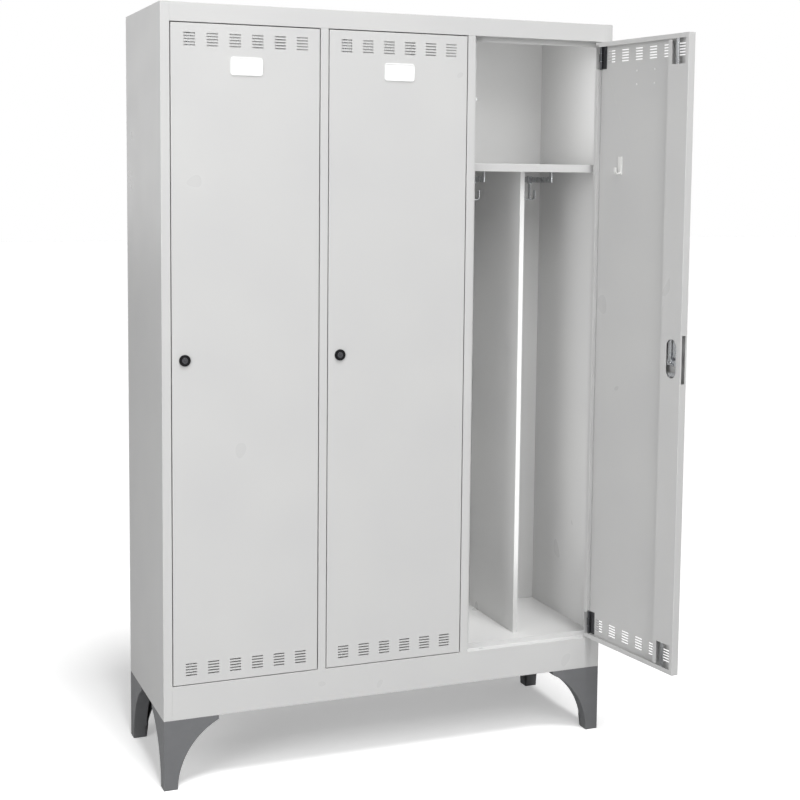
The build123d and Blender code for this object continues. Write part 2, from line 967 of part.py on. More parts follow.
def leg_outline():
    """One wing of a leg, drawn from the corner, with a round sweep from foot to tip."""
    with BuildLine() as outline:
        Polyline((0, leg_height), (0, 0), (leg_foot, 0))
        TangentArc((leg_foot, 0), (leg_wing, leg_height - leg_tip), tangent=(0, 1))
        Polyline((leg_wing, leg_height - leg_tip), (leg_wing, leg_height), (0, leg_height))
    make_face(outline.line)


# Corner legs: two hollow wings at right angles, closed at the foot and along the sweep
corner = Plane((-x_side, y_front, 0))
wing_planes = (
    Plane(corner.origin, x_dir=(1, 0, 0), z_dir=(0, -1, 0)),
    Plane(corner.origin, x_dir=(0, 1, 0), z_dir=(1, 0, 0)),
)
with BuildPart() as leg:
    for plane, sign in zip(wing_planes, (-1, 1)):
        with BuildSketch(plane):
            leg_outline()
        extrude(amount=sign * leg_foot)
    inner = leg_foot - leg_wall
    for plane, sign in zip(wing_planes, (-1, 1)):
        with BuildSketch(plane.offset(sign * leg_wall)):
            leg_outline()
            offset(amount=-leg_wall, kind=Kind.INTERSECTION, mode=Mode.REPLACE)
            with Locations((0, 0)):
                Rectangle(inner, leg_height, align=(Align.MIN, Align.MIN), mode=Mode.SUBTRACT)
        extrude(amount=sign * leg_foot, mode=Mode.SUBTRACT)
    slab(
        -x_side + leg_wall,
        -x_side + inner,
        y_front + leg_wall,
        y_front + inner,
        leg_wall,
        leg_height - leg_wall,
        Mode.SUBTRACT,
    )
    for x, y in ((leg_bolt_along, leg_bolt_inset), (leg_bolt_inset, leg_bolt_along)):
        rod(
            -x_side + x,
            y_front + y,
            bolt_radius + bolt_clearance,
            leg_height - leg_wall,
            leg_height,
            Mode.SUBTRACT,
        )
save("leg_front_left", leg.part)
save("leg_front_right", leg.part.mirror(Plane.YZ))
save("leg_back_left", leg.part.mirror(Plane.XZ))
save("leg_back_right", leg.part.mirror(Plane.YZ).mirror(Plane.XZ))

# Bolts up through the legs' tops and the body's bottom flanges, each with its nut
z_head = leg_height - leg_wall - bolt_head[1]
z_flange = z_body + sheet
fasteners = []
for side_x in (-1, 1):
    for side_y in (-1, 1):
        for along_x, along_y in ((leg_bolt_along, leg_bolt_inset), (leg_bolt_inset, leg_bolt_along)):
            x = side_x * (x_side - along_x)
            y = side_y * (y_back - along_y)
            with BuildPart() as bolt:
                with BuildSketch(Plane.XY.offset(z_head)):
                    with Locations((x, y)):
                        RegularPolygon(bolt_head[0], 6)
                extrude(amount=bolt_head[1])
                rod(x, y, bolt_radius, z_head, z_flange + nut_height + bolt_end)
            with BuildPart() as nut:
                with BuildSketch(Plane.XY.offset(z_flange)):
                    with Locations((x, y)):
                        RegularPolygon(bolt_head[0], 6)
                extrude(amount=nut_height)
                rod(x, y, bolt_radius + nut_gap, z_flange, z_flange + nut_height, Mode.SUBTRACT)
            fasteners += [bolt.part, nut.part]
save("leg_bolts", *fasteners)
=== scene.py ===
"""Sheet steel wardrobe locker, three doors on moulded corner legs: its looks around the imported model.

Metres, +Z up, the doors face -Y and the right door stands open. Every folded sheet is redrawn
from its node with small rounded folds, and every finish is procedural.
"""

import json
import logging
from dataclasses import dataclass, field
from enum import Enum
from math import atan2, cos, pi, radians, sin
from typing import Callable, Iterable

import bmesh
import bpy
from mathutils import Matrix, Vector

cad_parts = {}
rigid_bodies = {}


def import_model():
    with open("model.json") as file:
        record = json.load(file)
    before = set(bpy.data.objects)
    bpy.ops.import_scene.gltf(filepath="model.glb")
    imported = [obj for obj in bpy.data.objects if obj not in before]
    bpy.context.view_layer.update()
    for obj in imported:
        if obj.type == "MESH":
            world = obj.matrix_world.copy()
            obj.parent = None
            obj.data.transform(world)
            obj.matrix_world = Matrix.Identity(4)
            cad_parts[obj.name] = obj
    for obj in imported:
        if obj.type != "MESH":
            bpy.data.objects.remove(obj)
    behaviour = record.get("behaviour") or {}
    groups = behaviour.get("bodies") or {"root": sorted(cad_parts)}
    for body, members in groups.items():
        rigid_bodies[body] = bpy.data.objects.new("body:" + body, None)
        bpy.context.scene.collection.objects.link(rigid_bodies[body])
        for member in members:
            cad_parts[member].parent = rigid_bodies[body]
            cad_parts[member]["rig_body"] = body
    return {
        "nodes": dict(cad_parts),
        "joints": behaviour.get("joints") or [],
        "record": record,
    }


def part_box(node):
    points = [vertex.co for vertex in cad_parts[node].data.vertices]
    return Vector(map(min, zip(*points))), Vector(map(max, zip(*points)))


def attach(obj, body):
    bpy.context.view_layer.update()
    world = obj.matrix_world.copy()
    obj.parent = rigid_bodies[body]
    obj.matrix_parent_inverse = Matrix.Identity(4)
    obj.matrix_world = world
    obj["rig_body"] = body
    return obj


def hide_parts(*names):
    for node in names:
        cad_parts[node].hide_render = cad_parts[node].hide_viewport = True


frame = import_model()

log = logging.getLogger("locker")

MM = 0.001
SHEET = 1.0 * MM
MERGE_DISTANCE = 0.005 * MM
FLAT_ANGLE = radians(0.5)
SAME_PLANE_ANGLE = radians(1)
FOLD_ANGLE = radians(60)
SMOOTH_ANGLE = radians(35)
NOISE_RANGE = (0.15, 0.85)
NAMES = ("left", "centre", "right")
HOOKS = 6

Box = tuple[Vector, Vector]


# ---------------------------------------------------------------- materials


def linear(hex_colour: str) -> tuple[float, float, float, float]:
    """Turn an sRGB colour into the linear one that shaders take.

    Args:
        hex_colour: Six hexadecimal digits after a hash.

    Returns:
        Linear red, green and blue, and an alpha of one.
    """
    parts = [int(hex_colour[i : i + 2], 16) / 255 for i in (1, 3, 5)]
    straight = [c / 12.92 if c <= 0.04045 else ((c + 0.055) / 1.055) ** 2.4 for c in parts]
    return (*straight, 1.0)


def per_metre(size_mm: float) -> float:
    """Texture scale at which one cell of a pattern is size_mm across."""
    return 1 / (size_mm * MM)


def add_node(
    tree: bpy.types.NodeTree, kind: str, settings: dict | None = None, links: dict | None = None
) -> bpy.types.Node:
    """Add a node, set it and link its inputs.

    Args:
        tree: The tree that the node joins.
        kind: The node's type name.
        settings: Attributes by name, or input values by the input's name or number.
        links: Output sockets of other nodes, by the name or number of the input they feed.

    Returns:
        The new node.
    """
    node = tree.nodes.new(kind)
    for key, value in (settings or {}).items():
        if isinstance(key, str) and hasattr(node, key):
            setattr(node, key, value)
        else:
            node.inputs[key].default_value = value
    for key, socket in (links or {}).items():
        tree.links.new(socket, node.inputs[key])
    return node


@dataclass(frozen=True)
class Finish:
    """A finish whose colour, gloss and skin vary over the surface.

    Each pattern is a noise whose cell is given in millimetres. The mottle varies the colour
    between two shades, the haze varies the roughness, and the skin is the relief.
    """

    name: str
    shade: str
    second_shade: str
    mottle_mm: float
    roughness: tuple[float, float]
    haze_mm: float
    skin_mm: float
    skin_height_mm: float
    skin_strength: float
    metallic: float = 0.0
    ior: float = 1.5
    stretch: tuple[float, float, float] = (1.0, 1.0, 1.0)
    detail: float = 2.0

    def build(self) -> bpy.types.Material:
        """Make the material.

        Returns:
            A node material that reads Object coordinates.
        """
        material = bpy.data.materials.new(self.name)
        material.use_nodes = True
        tree = material.node_tree
        tree.nodes.clear()
        place = add_node(tree, "ShaderNodeTexCoord").outputs["Object"]
        grain = add_node(
            tree, "ShaderNodeMapping", {"Scale": self.stretch}, {"Vector": place}
        ).outputs["Vector"]
        mottle = add_node(
            tree,
            "ShaderNodeTexNoise",
            {"Scale": per_metre(self.mottle_mm), "Detail": self.detail},
            {"Vector": grain},
        )
        colour = add_node(
            tree,
            "ShaderNodeMix",
            {"data_type": "RGBA", 6: linear(self.shade), 7: linear(self.second_shade)},
            {0: mottle.outputs["Fac"]},
        )
        haze = add_node(
            tree,
            "ShaderNodeTexNoise",
            {"Scale": per_metre(self.haze_mm), "Detail": self.detail},
            {"Vector": grain},
        )
        lowest, highest = NOISE_RANGE
        low, high = self.roughness
        gloss = add_node(
            tree,
            "ShaderNodeMapRange",
            {"From Min": lowest, "From Max": highest, "To Min": low, "To Max": high},
            {"Value": haze.outputs["Fac"]},
        )
        skin = add_node(
            tree,
            "ShaderNodeTexNoise",
            {"Scale": per_metre(self.skin_mm), "Detail": 1.0},
            {"Vector": grain},
        )
        relief = add_node(
            tree,
            "ShaderNodeBump",
            {"Strength": self.skin_strength, "Distance": self.skin_height_mm * MM},
            {"Height": skin.outputs["Fac"]},
        )
        shader = add_node(
            tree,
            "ShaderNodeBsdfPrincipled",
            {"Metallic": self.metallic, "IOR": self.ior},
            {
                "Base Color": colour.outputs[2],
                "Roughness": gloss.outputs["Result"],
                "Normal": relief.outputs["Normal"],
            },
        )
        add_node(tree, "ShaderNodeOutputMaterial", links={"Surface": shader.outputs["BSDF"]})
        return material


class Slot(Enum):
    """The record's material slots."""

    COAT = "grey_powder_coat"
    LEG = "dark_grey_plastic"
    ZINC = "zinc_plated_steel"
    HINGE = "dark_steel"
    LOCK = "lock_black"
    PLUG = "lock_core"
    MOULDED = "white_plastic"
    CARD = "card_white"


FINISHES: dict[Slot, Finish] = {
    # Polyester powder coat, sprayed and baked on sheet steel: an even light grey with a
    # semi-gloss skin. Real orange peel is about 2 mm across; it is drawn at 12 mm so that it
    # shows as a soft break-up of the reflections.
    Slot.COAT: Finish(
        name="powder_coated_steel",
        shade="#D3D3D2",
        second_shade="#CECECE",
        mottle_mm=160,
        roughness=(0.27, 0.35),
        haze_mm=90,
        skin_mm=12,
        skin_height_mm=0.05,
        skin_strength=0.08,
        detail=0.0,
    ),
    # ABS, injection moulded in a spark-eroded tool: mid-dark grey with a fine leathery grain.
    # The grain is 0.3 mm; it is drawn at 1.5 mm so that it breaks the sheen in the render.
    Slot.LEG: Finish(
        name="moulded_abs",
        shade="#747577",
        second_shade="#6B6C6E",
        mottle_mm=30,
        roughness=(0.42, 0.55),
        haze_mm=12,
        skin_mm=1.5,
        skin_height_mm=0.05,
        skin_strength=0.35,
        ior=1.53,
        detail=4.0,
    ),
    # Bright electroplated zinc over rolled steel: a cool satin with faint rolling streaks.
    Slot.ZINC: Finish(
        name="zinc_plated_steel",
        shade="#D2D4D6",
        second_shade="#BEC0C3",
        mottle_mm=9,
        roughness=(0.2, 0.34),
        haze_mm=6,
        skin_mm=2,
        skin_height_mm=0.01,
        skin_strength=0.3,
        metallic=1.0,
        stretch=(1.0, 1.0, 0.25),
        detail=3.0,
    ),
    # Phosphated and oiled steel: dark grey, with glints where it is worn bright.
    Slot.HINGE: Finish(
        name="phosphated_steel",
        shade="#57585B",
        second_shade="#3E3F42",
        mottle_mm=5,
        roughness=(0.28, 0.42),
        haze_mm=4,
        skin_mm=1,
        skin_height_mm=0.02,
        skin_strength=0.3,
        metallic=0.8,
        detail=3.0,
    ),
    # Die-cast zinc with black nickel plating: dark, with sharp bright reflections.
    Slot.LOCK: Finish(
        name="black_nickel_plate",
        shade="#2C2C2E",
        second_shade="#232325",
        mottle_mm=6,
        roughness=(0.16, 0.24),
        haze_mm=3,
        skin_mm=2,
        skin_height_mm=0.01,
        skin_strength=0.2,
        metallic=0.85,
    ),
    # Turned brass with bright nickel plating: a mirror worn dull by keys.
    Slot.PLUG: Finish(
        name="nickel_plated_brass",
        shade="#77777A",
        second_shade="#5E5E62",
        mottle_mm=3,
        roughness=(0.18, 0.36),
        haze_mm=1.5,
        skin_mm=1,
        skin_height_mm=0.01,
        skin_strength=0.3,
        metallic=1.0,
    ),
    # Polypropylene, injection moulded in a polished tool: white, slightly waxy.
    Slot.MOULDED: Finish(
        name="moulded_polypropylene",
        shade="#F0F0EE",
        second_shade="#E9E9E7",
        mottle_mm=8,
        roughness=(0.28, 0.38),
        haze_mm=5,
        skin_mm=1.5,
        skin_height_mm=0.02,
        skin_strength=0.2,
        ior=1.49,
    ),
    # Styrene holder with a clear-faced blank card: bright white and glossy.
    Slot.CARD: Finish(
        name="glossy_white_styrene",
        shade="#FDFDFD",
        second_shade="#F9F9F9",
        mottle_mm=12,
        roughness=(0.2, 0.28),
        haze_mm=8,
        skin_mm=4,
        skin_height_mm=0.02,
        skin_strength=0.15,
        ior=1.55,
    ),
}


@dataclass
class Finishes:
    """Makes each material once and puts it on pieces and nodes."""

    made: dict[Slot, bpy.types.Material] = field(default_factory=dict)

    def get(self, slot: Slot) -> bpy.types.Material:
        """The material of a slot, made when it is first asked for."""
        if slot not in self.made:
            self.made[slot] = FINISHES[slot].build()
        return self.made[slot]

    def dress_node(self, node: str) -> None:
        """Give a node that stays the material of its slot."""
        for material_slot in frame["nodes"][node].material_slots:
            material_slot.material = self.get(slot_of(node))
        log.info("node %s keeps its shape, dressed as %s", node, slot_of(node).value)


FINISH_SET = Finishes()


# ---------------------------------------------------------------- meshes


def slot_of(node: str) -> Slot:
    """The material slot that the record gives a node."""
    rows = {row["node"]: row["material_slot"] for row in frame["record"]["subparts"]}
    return Slot(rows[node])


def joint_of(name: str) -> dict:
    """The record's joint of that name."""
    return next(joint for joint in frame["joints"] if joint["name"] == name)


def merged_copy(node: str) -> bmesh.types.BMesh:
    """Copy a node's triangles, join them up and merge what is flat into whole faces.

    Args:
        node: The node's name.

    Returns:
        A closed mesh, which the caller frees.
    """
    mesh = bmesh.new()
    mesh.from_mesh(frame["nodes"][node].data)
    bmesh.ops.remove_doubles(mesh, verts=mesh.verts, dist=MERGE_DISTANCE)
    bmesh.ops.dissolve_limit(mesh, angle_limit=FLAT_ANGLE, verts=mesh.verts, edges=mesh.edges)
    return mesh


def flat_breadths(mesh: bmesh.types.BMesh) -> dict[bmesh.types.BMFace, float]:
    """Measure how broad each flat region is: twice its area over the length of its rim.

    Args:
        mesh: The mesh to measure.

    Returns:
        For each face, the breadth of the flat region that it is part of.
    """
    breadths: dict[bmesh.types.BMFace, float] = {}
    for start in mesh.faces:
        if start in breadths:
            continue
        region, queue, rim = {start}, [start], 0.0
        while queue:
            face = queue.pop()
            for edge in face.edges:
                others = [other for other in edge.link_faces if other is not face]
                if len(others) == 1 and edge.calc_face_angle(pi) < SAME_PLANE_ANGLE:
                    if others[0] not in region:
                        region.add(others[0])
                        queue.append(others[0])
                else:
                    rim += edge.calc_length()
        breadth = 2 * sum(face.calc_area() for face in region) / rim
        breadths.update(dict.fromkeys(region, breadth))
    return breadths


def finish_piece(
    mesh: bmesh.types.BMesh, name: str, slot: Slot, body: str, nodes: Iterable[str] = ()
) -> bpy.types.Object:
    """Turn a mesh into a finished piece that rides on a body.

    Args:
        mesh: The mesh, in the row frame. It is freed.
        name: The piece's name.
        slot: Its material slot.
        body: The body that it rides on.
        nodes: The nodes that it stands for.

    Returns:
        The new object.
    """
    data = bpy.data.meshes.new(name)
    mesh.to_mesh(data)
    mesh.free()
    data.shade_smooth()
    data.set_sharp_from_angle(angle=SMOOTH_ANGLE)
    data.materials.append(FINISH_SET.get(slot))
    piece = bpy.data.objects.new(name, data)
    bpy.context.scene.collection.objects.link(piece)
    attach(piece, body)
    for node in nodes:
        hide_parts(node)
    log.info("%s: %d faces, rides on %s", name, len(data.polygons), body)
    return piece


def round_edges(piece: bpy.types.Object, radius: float, segments: int = 3) -> None:
    """Round the edges that carry a bevel weight, and keep the flats flat.

    Args:
        piece: The piece.
        radius: The radius in metres at a weight of one.
        segments: Facets across each rounding.
    """
    bevel = piece.modifiers.new("bend radius", "BEVEL")
    bevel.limit_method = "WEIGHT"
    bevel.width = radius
    bevel.segments = segments
    bevel.profile = 0.5
    bevel.use_clamp_overlap = False
    bevel.material = -1
    normals = piece.modifiers.new("flat faces", "WEIGHTED_NORMAL")
    normals.keep_sharp = True


@dataclass
class FoldedSheet:
    """A folded sheet: outside corners take the large radius, inside ones the small one.

    Edges where the sheet was cut have one face as narrow as the sheet, and stay crisp. The
    stretches of a fold that are welded flush to another sheet take the welded radius.
    """

    node: str
    outer_radius: float = 0.9 * MM
    inner_radius: float = 0.35 * MM
    cut_edge_breadth: float = 1.4 * SHEET
    cuts: tuple[tuple[Vector, Vector], ...] = ()
    welded: Callable[[Vector], bool] = lambda middle: False
    welded_radius: float = 0.2 * MM

    def build(self) -> bpy.types.Object:
        """Make the piece.

        Returns:
            The object, which stands for the node.
        """
        mesh = merged_copy(self.node)
        for place, direction in self.cuts:
            geometry = [*mesh.verts, *mesh.edges, *mesh.faces]
            bmesh.ops.bisect_plane(mesh, geom=geometry, plane_co=place, plane_no=direction)
        breadths = flat_breadths(mesh)
        weights = mesh.edges.layers.float.new("bevel_weight_edge")
        for edge in mesh.edges:
            if len(edge.link_faces) != 2:
                continue
            turn = edge.calc_face_angle_signed(0)
            narrowest = min(breadths[face] for face in edge.link_faces)
            if abs(turn) < FOLD_ANGLE or narrowest < self.cut_edge_breadth:
                continue
            radius = self.outer_radius if turn > 0 else self.inner_radius
            if self.welded((edge.verts[0].co + edge.verts[1].co) / 2):
                radius = self.welded_radius
            edge[weights] = radius / self.outer_radius
        body = frame["nodes"][self.node]["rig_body"]
        piece = finish_piece(mesh, f"{self.node}_sheet", slot_of(self.node), body, [self.node])
        round_edges(piece, self.outer_radius)
        return piece


@dataclass
class RoundedSolid:
    """A moulded or formed piece whose corners are all rounded by one radius."""

    node: str
    radius: float
    segments: int = 2
    sharp_angle: float = radians(40)

    def build(self) -> bpy.types.Object:
        """Make the piece.

        Returns:
            The object, which stands for the node.
        """
        mesh = merged_copy(self.node)
        weights = mesh.edges.layers.float.new("bevel_weight_edge")
        for edge in mesh.edges:
            if len(edge.link_faces) == 2 and edge.calc_face_angle(0) > self.sharp_angle:
                edge[weights] = 1.0
        body = frame["nodes"][self.node]["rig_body"]
        piece = finish_piece(mesh, f"{self.node}_rounded", slot_of(self.node), body, [self.node])
        round_edges(piece, self.radius, self.segments)
        return piece


# ---------------------------------------------------------------- the cabinet


@dataclass
class Cabinet:
    """The carcass: side panels, back, top with its header, kick rail, floor and inner sheets."""

    sill: float = field(init=False)
    lintel: float = field(init=False)
    front: float = field(init=False)
    reveal: float = field(init=False)

    def __post_init__(self) -> None:
        """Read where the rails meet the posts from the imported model."""
        self.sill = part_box("centre_post_left")[0].z
        self.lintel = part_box("centre_post_left")[1].z
        self.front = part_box("kick_rail")[0].y
        self.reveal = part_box("kick_rail")[1].x

    def welded_to_rail(self, middle: Vector) -> bool:
        """Whether a post's inner corner is welded flush to the header or the kick rail there."""
        beside_opening = self.sill < middle.z < self.lintel
        on_corner = abs(abs(middle.x) - self.reveal) < MM and abs(middle.y - self.front) < MM
        return on_corner and not beside_opening

    def build_side(self, side: str) -> None:
        """Make a side panel with its front post, near crisp only where rails are welded on."""
        up = Vector((0, 0, 1))
        cuts = tuple((Vector((0, 0, z)), up) for z in (self.sill, self.lintel))
        FoldedSheet(f"side_panel_{side}", cuts=cuts, welded=self.welded_to_rail).build()

    def build(self) -> None:
        """Make every sheet of the carcass, the legs and the fittings inside."""
        for side in ("left", "right"):
            self.build_side(side)
        for node in ("top_panel", "kick_rail", "back_panel", "floor_panel"):
            FoldedSheet(node).build()
        for name in NAMES[:2]:
            FoldedSheet(f"partition_{name}").build()
            FoldedSheet(f"centre_post_{name}").build()
        for name in NAMES:
            FoldedSheet(f"hat_shelf_{name}").build()
            FoldedSheet(f"divider_{name}").build()
        for corner in ("front_left", "front_right", "back_left", "back_right"):
            RoundedSolid(f"leg_{corner}", radius=1.2 * MM, segments=3).build()
        RoundedSolid("coat_rails", radius=0.8 * MM).build()
        RoundedSolid("frame_hinge_leaves", radius=0.25 * MM).build()
        for number in range(1, HOOKS + 1):
            RoundedSolid(f"coat_hook_{number}", radius=0.9 * MM, segments=3).build()
        for node in ("hinge_pins", "leg_bolts"):
            FINISH_SET.dress_node(node)


# ---------------------------------------------------------------- the doors


@dataclass
class Door:
    """One door with its lock, rods, guides and card holder.

    New pieces are drawn as if the door were shut, then turned about its hinge to where it rests.
    """

    name: str
    corner_facets: int = 6
    holder_corner: float = 7 * MM
    holder_frame: float = 3 * MM
    holder_pocket: float = 1 * MM
    holder_edge: float = 0.35 * MM
    card_clearance: float = 0.3 * MM
    card_depth: float = 0.6 * MM
    turned_steps: int = 48
    rosette_edge: float = 1.3 * MM
    rosette_shoulder: tuple[float, float] = (0.35, 0.25)
    rosette_lip: float = 1.2 * MM
    groove: float = 0.5 * MM
    plug_clearance: float = 0.25 * MM
    barrel_radius: float = 9.5 * MM
    nut_clearance: float = 0.02 * MM
    nut_corner: float = 14 * MM
    nut_height: float = 4 * MM
    nut_steps: int = 36
    stud_facets: int = 20
    stud_radius: float = 2.8 * MM
    stud_taper: float = 0.6
    stud_height: float = 1 * MM
    stud_spacing: tuple[float, float] = (70 * MM, 34 * MM)
    turn: Matrix = field(init=False)
    lock_centre: Vector = field(init=False)
    face: float = field(init=False)

    def __post_init__(self) -> None:
        """Work out how far the door is turned at rest, and where its lock and face are."""
        hinge = Matrix.Translation(Vector(joint_of(f"door_{self.name}_hinge")["pos_m"]))
        lock = joint_of(f"lock_{self.name}_turn")
        angle = atan2(lock["axis"][0], -lock["axis"][1])
        self.turn = hinge @ Matrix.Rotation(angle, 4, "Z") @ hinge.inverted()
        self.lock_centre = self.turn.inverted() @ Vector(lock["pos_m"])
        self.face = self.shut_box(f"door_skin_{self.name}")[0].y

    def shut_box(self, node: str) -> Box:
        """Lowest and highest corners of a node with the door shut.

        Args:
            node: The node's name.

        Returns:
            The two corners.
        """
        back = self.turn.inverted()
        points = [back @ vertex.co for vertex in frame["nodes"][node].data.vertices]
        low = Vector(min(p[i] for p in points) for i in range(3))
        high = Vector(max(p[i] for p in points) for i in range(3))
        return low, high

    def place(
        self, mesh: bmesh.types.BMesh, what: str, slot: Slot, nodes: Iterable[str] = ()
    ) -> bpy.types.Object:
        """Turn a mesh to where the door rests and finish it.

        Args:
            mesh: The mesh with the door shut.
            what: What the piece is.
            slot: Its material slot.
            nodes: The nodes that it stands for.

        Returns:
            The new object, riding on the door.
        """
        bmesh.ops.recalc_face_normals(mesh, faces=mesh.faces)
        mesh.transform(self.turn)
        return finish_piece(mesh, f"{what}_{self.name}", slot, f"door_{self.name}", nodes)

    def plate(
        self, low: Vector, high: Vector, corner: float
    ) -> tuple[bmesh.types.BMesh, list[bmesh.types.BMFace]]:
        """A plate with rounded corners, standing on the door's face.

        Args:
            low: Lowest corner, the plate's front being at its y.
            high: Highest corner, the plate's back being at its y.
            corner: Radius of the corners.

        Returns:
            The mesh and its front face.
        """
        mesh = bmesh.new()
        corners = ((low.x, low.z), (high.x, low.z), (high.x, high.z), (low.x, high.z))
        face = mesh.faces.new([mesh.verts.new((x, high.y, z)) for x, z in corners])
        bmesh.ops.bevel(
            mesh,
            geom=face.verts[:],
            offset=corner,
            affect="VERTICES",
            segments=self.corner_facets,
            profile=0.5,
            material=-1,
        )
        mesh.faces.ensure_lookup_table()
        grown = bmesh.ops.extrude_face_region(mesh, geom=mesh.faces[:], use_keep_orig=True)
        front = [item for item in grown["geom"] if isinstance(item, bmesh.types.BMFace)]
        moved = [item for item in grown["geom"] if isinstance(item, bmesh.types.BMVert)]
        bmesh.ops.translate(mesh, verts=moved, vec=(0, low.y - high.y, 0))
        return mesh, front

    def build_card_holder(self) -> None:
        """A rounded frame with a pocket, its blank card and the heads of its four studs."""
        node = f"card_holder_{self.name}"
        low, high = self.shut_box(node)
        high.y = self.face
        mesh, front = self.plate(low, high, self.holder_corner)
        bmesh.ops.inset_region(mesh, faces=front, thickness=self.holder_frame, use_even_offset=True)
        pocket = bmesh.ops.extrude_face_region(mesh, geom=front)
        floor = [item for item in pocket["geom"] if isinstance(item, bmesh.types.BMVert)]
        bmesh.ops.delete(mesh, geom=front, context="FACES_ONLY")
        bmesh.ops.translate(mesh, verts=floor, vec=(0, self.holder_pocket, 0))
        middle = (low + high) / 2
        for side in (-1, 1):
            for level in (-1, 1):
                x = middle.x + side * self.stud_spacing[0] / 2
                z = middle.z + level * self.stud_spacing[1] / 2
                self.add_stud(mesh, Vector((x, self.face + SHEET, z)))
        holder = self.place(mesh, "card_frame", Slot.CARD, [node])
        edges = holder.modifiers.new("moulded edges", "BEVEL")
        edges.limit_method = "ANGLE"
        edges.width = self.holder_edge
        edges.segments = 2
        edges.profile = 0.5
        margin = self.holder_frame + self.card_clearance
        card_low = low + Vector((margin, self.card_depth, margin))
        card_high = Vector((high.x - margin, low.y + self.holder_pocket, high.z - margin))
        card, _ = self.plate(card_low, card_high, self.holder_corner - self.holder_frame)
        self.place(card, "blank_card", Slot.CARD)

    def add_stud(self, mesh: bmesh.types.BMesh, centre: Vector) -> None:
        """Add a low round stud head on the inside of the door's face.

        Args:
            mesh: The mesh that it joins.
            centre: Middle of the head where it meets the sheet.
        """
        along = Matrix.Rotation(radians(-90), 4, "X")
        bmesh.ops.create_cone(
            mesh,
            cap_ends=True,
            cap_tris=False,
            segments=self.stud_facets,
            radius1=self.stud_radius,
            radius2=self.stud_taper * self.stud_radius,
            depth=self.stud_height,
            matrix=Matrix.Translation(centre + Vector((0, self.stud_height / 2, 0))) @ along,
        )

    def build_lock(self) -> None:
        """A turned rosette with a rolled edge and a groove round the plug, and its nut."""
        node = f"lock_body_{self.name}"
        low, high = self.shut_box(node)
        radius = (high.x - low.x) / 2
        plug_low, plug_high = self.shut_box(f"lock_plug_{self.name}")
        bore = (plug_high.x - plug_low.x) / 2 + self.plug_clearance
        inward, back = (share * self.rosette_edge for share in self.rosette_shoulder)
        profile = [
            (bore, high.y),
            (bore, low.y + self.groove),
            (bore + self.rosette_lip, low.y),
            (radius - self.rosette_edge, low.y),
            (radius - inward, low.y + back),
            (radius, low.y + self.rosette_edge),
            (radius, self.face),
            (self.barrel_radius, self.face),
            (self.barrel_radius, high.y),
        ]
        mesh = bmesh.new()
        centre = self.lock_centre
        points = [mesh.verts.new((centre.x + r, y, centre.z)) for r, y in profile]
        ring = [mesh.edges.new(pair) for pair in zip(points, [*points[1:], points[0]])]
        bmesh.ops.spin(
            mesh,
            geom=[*points, *ring],
            cent=(centre.x, 0, centre.z),
            axis=(0, 1, 0),
            angle=2 * pi,
            steps=self.turned_steps,
            use_merge=True,
        )
        bmesh.ops.remove_doubles(mesh, verts=mesh.verts, dist=MERGE_DISTANCE)
        nut_bore = self.barrel_radius + self.nut_clearance
        self.add_nut(mesh, Vector((centre.x, self.face + SHEET, centre.z)), nut_bore)
        self.place(mesh, "lock_rosette", Slot.LOCK, [node])

    def add_nut(self, mesh: bmesh.types.BMesh, centre: Vector, bore: float) -> None:
        """Add the lock's hexagon nut, a ring with six flats.

        Args:
            mesh: The mesh that it joins.
            centre: Middle of the nut where it meets the sheet.
            bore: Radius of its hole.
        """
        edges = []
        for reach_at in (self.hex_radius, lambda angle: bore):
            ring = []
            for step in range(self.nut_steps):
                angle = 2 * pi * step / self.nut_steps
                reach = reach_at(angle)
                offset = Vector((reach * cos(angle), 0, reach * sin(angle)))
                ring.append(mesh.verts.new(centre + offset))
            edges += [mesh.edges.new(pair) for pair in zip(ring, [*ring[1:], ring[0]])]
        bridge = bmesh.ops.bridge_loops(mesh, edges=edges)
        grown = bmesh.ops.extrude_face_region(mesh, geom=bridge["faces"], use_keep_orig=True)
        moved = [item for item in grown["geom"] if isinstance(item, bmesh.types.BMVert)]
        bmesh.ops.translate(mesh, verts=moved, vec=(0, self.nut_height, 0))

    def hex_radius(self, angle: float) -> float:
        """Distance from the nut's middle to its outside at an angle."""
        half_side = radians(30)
        from_flat = angle % (2 * half_side) - half_side
        return self.nut_corner * cos(half_side) / cos(from_flat)

    def build(self) -> None:
        """Make every piece of the door."""
        FoldedSheet(f"door_skin_{self.name}").build()
        FoldedSheet(f"door_channel_{self.name}").build()
        self.build_card_holder()
        self.build_lock()
        RoundedSolid(f"lock_plug_{self.name}", radius=0.25 * MM).build()
        RoundedSolid(f"lock_cam_{self.name}", radius=0.3 * MM).build()
        for rod in ("top_rod", "bottom_rod"):
            RoundedSolid(f"{rod}_{self.name}", radius=0.4 * MM).build()
        RoundedSolid(f"door_fittings_{self.name}", radius=0.4 * MM).build()
        RoundedSolid(f"door_hinge_leaves_{self.name}", radius=0.25 * MM).build()


# ---------------------------------------------------------------- the studio


def stand_lamp(lamp: bpy.types.Light, place: Iterable[float]) -> bpy.types.Object:
    """Stand a lamp at a place in the scene and return its object."""
    stand = bpy.data.objects.new(lamp.name, lamp)
    stand.location = place
    bpy.context.scene.collection.objects.link(stand)
    return stand


